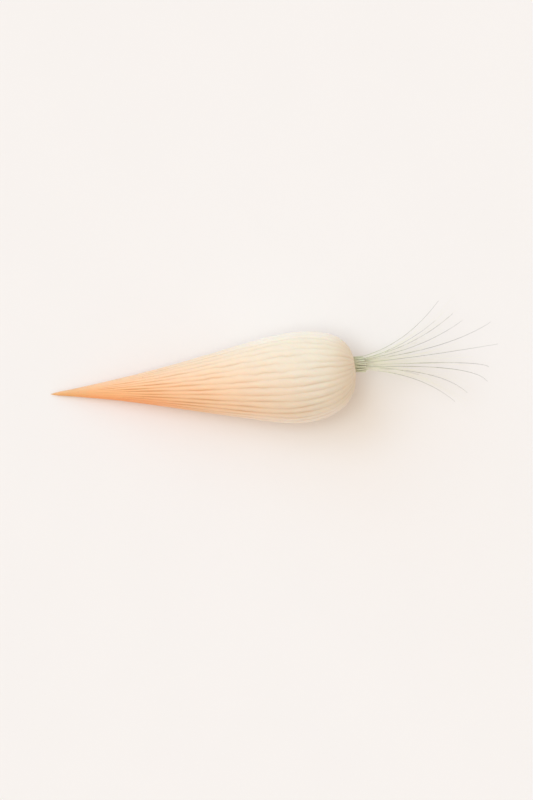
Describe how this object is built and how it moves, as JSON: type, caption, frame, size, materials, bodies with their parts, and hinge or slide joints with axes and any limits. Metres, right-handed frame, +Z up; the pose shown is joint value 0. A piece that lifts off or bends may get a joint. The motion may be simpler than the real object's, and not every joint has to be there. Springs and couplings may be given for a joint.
{
  "type": "carrot-shaped cake",
  "caption": "Whole cake shaped like a carrot, with a fine tip, soft lengthwise ribs, a rounded crown and a tuft of thin green threads, lying on its side.",
  "frame": {"origin": "on the settled flat of the underside, where the cake rests on the table", "axes": "+X along the table from the fine tip to the crown and its greens, +Y to the side that the crown leans to, +Z up, away from the table"},
  "size_m": [0.2622, 0.0652, 0.0526],
  "materials": {
    "cake": "matt, fine-grained icing, orange at the tip and fading to cream at the crown",
    "greens": "fine matt green threads, darker where they are bunched"
  },
  "bodies": {
    "root": {"cake": "cake", "greens": "greens"}
  },
  "joints": []
}
